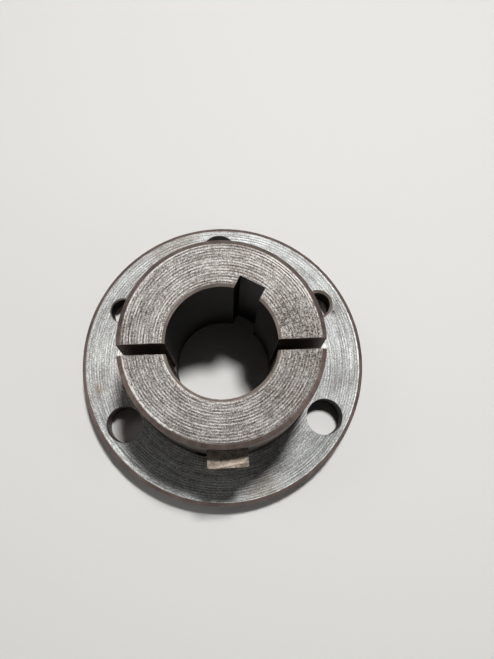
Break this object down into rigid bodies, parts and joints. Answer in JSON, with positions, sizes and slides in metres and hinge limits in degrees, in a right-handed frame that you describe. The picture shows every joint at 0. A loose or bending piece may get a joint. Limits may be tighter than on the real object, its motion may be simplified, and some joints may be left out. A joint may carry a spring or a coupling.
{
  "type": "split taper bushing",
  "caption": "Flanged tapered bushing, its barrel split by two saw cuts, with a keyed bore, screw holes and an external key.",
  "frame": {"origin": "centre of the bore on the flange's underside, which is the plane the bushing rests on", "axes": "+Z along the bore, from the flange to the barrel's small end; X along the saw cuts; the external key is on the -Y side"},
  "size_m": [0.0762, 0.0762, 0.0492],
  "materials": {
    "machined_iron": "turned",
    "key_steel": "cropped bar"
  },
  "bodies": {
    "root": {"bushing": "machined_iron", "external_key": "key_steel"}
  },
  "joints": []
}
